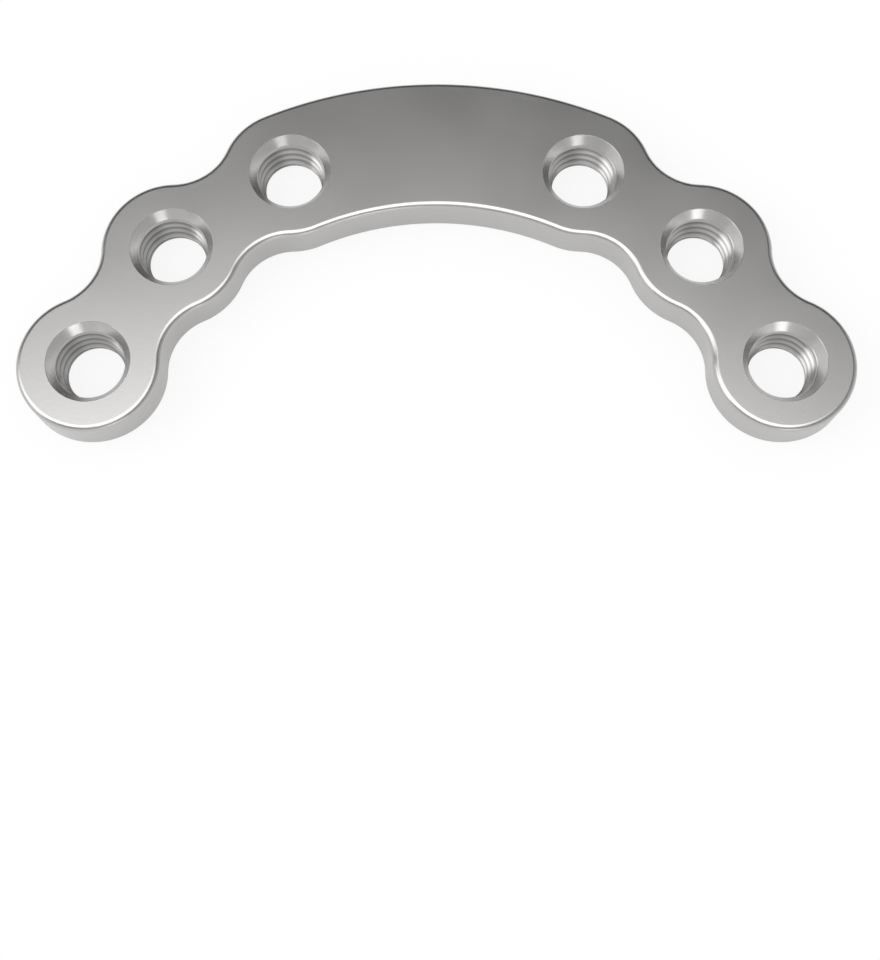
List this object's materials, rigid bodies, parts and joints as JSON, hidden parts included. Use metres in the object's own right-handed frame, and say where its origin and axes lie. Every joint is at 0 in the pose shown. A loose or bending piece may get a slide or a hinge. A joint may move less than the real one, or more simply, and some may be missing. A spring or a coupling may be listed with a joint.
{
  "type": "orthopedic bone plate",
  "caption": "Flat steel bone plate curved like an arch, scalloped outline of round pads, with a countersunk, tapered threaded screw hole in each pad.",
  "frame": {"origin": "centre of the plate's box, on its flat underside", "axes": "+X along the plate from end to end, +Y towards the top of the arch, +Z out of the top face that the screw heads sit in"},
  "size_m": [0.0432, 0.0198, 0.0022],
  "materials": {
    "implant_steel": "satin"
  },
  "bodies": {
    "root": {"bone_plate": "implant_steel"}
  },
  "joints": []
}
